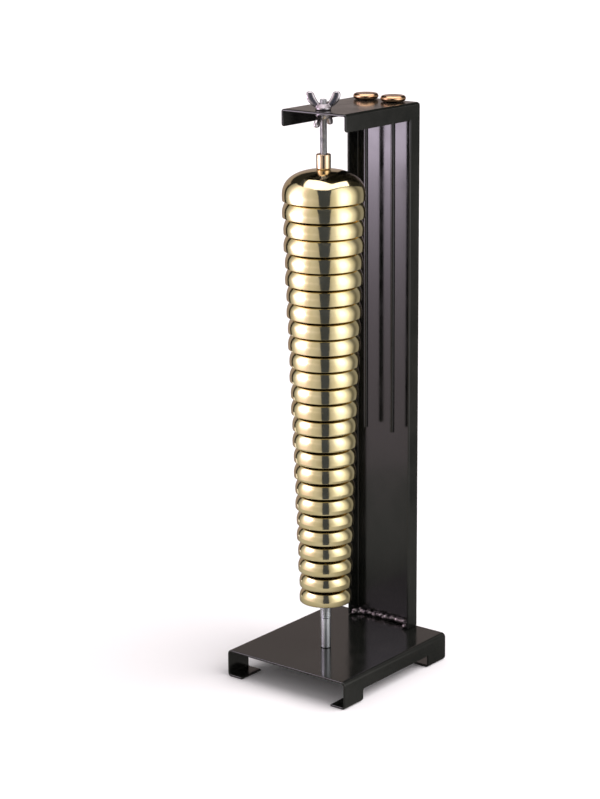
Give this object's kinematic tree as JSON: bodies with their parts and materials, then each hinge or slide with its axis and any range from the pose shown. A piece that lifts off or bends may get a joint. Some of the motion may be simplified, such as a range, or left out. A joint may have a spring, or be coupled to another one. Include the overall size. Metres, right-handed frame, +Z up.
{
  "type": "bell tree",
  "caption": "Table-top bell tree: nested brass cup bells tapering down a threaded spindle, held between a folded steel base and the arm of a channel upright that also stores two strikers.",
  "frame": {"origin": "centre of the base's footprint on the surface that it stands on", "axes": "+Z up along the spindle, +X to the right along the base's width, -Y to the front, away from the upright"},
  "size_m": [0.13, 0.15, 0.5159],
  "materials": {
    "black_enamel": "gloss black stoved enamel over folded steel sheet",
    "polished_brass": "polished pale bell brass",
    "turned_brass": "turned and lightly polished red brass",
    "bright_zinc": "bright zinc plated steel",
    "bright_nickel": "bright nickel plated casting",
    "black_oxide_steel": "black oxide steel rod, oiled",
    "grey_nylon": "moulded grey nylon"
  },
  "bodies": {
    "stand": {"base_tray": "black_enamel", "upright_channel": "black_enamel", "weld_bead": "black_enamel", "base_post": "bright_zinc", "base_screw": "black_oxide_steel", "foot_nut": "bright_zinc", "spindle_rod": "bright_zinc", "spacer_sleeve": "grey_nylon", "bell_01": "polished_brass", "bell_02": "polished_brass", "bell_03": "polished_brass", "bell_04": "polished_brass", "bell_05": "polished_brass", "bell_06": "polished_brass", "bell_07": "polished_brass", "bell_08": "polished_brass", "bell_09": "polished_brass", "bell_10": "polished_brass", "bell_11": "polished_brass", "bell_12": "polished_brass", "bell_13": "polished_brass", "bell_14": "polished_brass", "bell_15": "polished_brass", "bell_16": "polished_brass", "bell_17": "polished_brass", "bell_18": "polished_brass", "bell_19": "polished_brass", "bell_20": "polished_brass", "bell_21": "polished_brass", "bell_22": "polished_brass", "bell_23": "polished_brass", "bell_24": "polished_brass", "bell_25": "polished_brass", "bell_26": "polished_brass"},
    "collar_nut": {"collar_nut": "turned_brass"},
    "wing_nut_upper": {"wing_nut_upper": "bright_nickel"},
    "wing_nut_lower": {"wing_nut_lower": "bright_nickel"},
    "striker_left": {"striker_head_left": "polished_brass", "striker_rod_left": "black_oxide_steel"},
    "striker_right": {"striker_head_right": "polished_brass", "striker_rod_right": "black_oxide_steel"}
  },
  "joints": [
    {"name": "striker_left_lift", "type": "slide", "parent": "stand", "child": "striker_left", "axis": [0, 0, 1], "range_m": [0, 0.296]},
    {"name": "striker_right_lift", "type": "slide", "parent": "stand", "child": "striker_right", "axis": [0, 0, 1], "range_m": [0, 0.296]},
    {"name": "wing_nut_upper_travel", "type": "slide", "parent": "stand", "child": "wing_nut_upper", "axis": [0, 0, 1], "range_m": [0, 0.0085]},
    {"name": "wing_nut_lower_travel", "type": "slide", "parent": "stand", "child": "wing_nut_lower", "axis": [0, 0, -1], "range_m": [0, 0.01]},
    {"name": "collar_nut_travel", "type": "slide", "parent": "stand", "child": "collar_nut", "axis": [0, 0, 1], "range_m": [0, 0.008]}
  ]
}
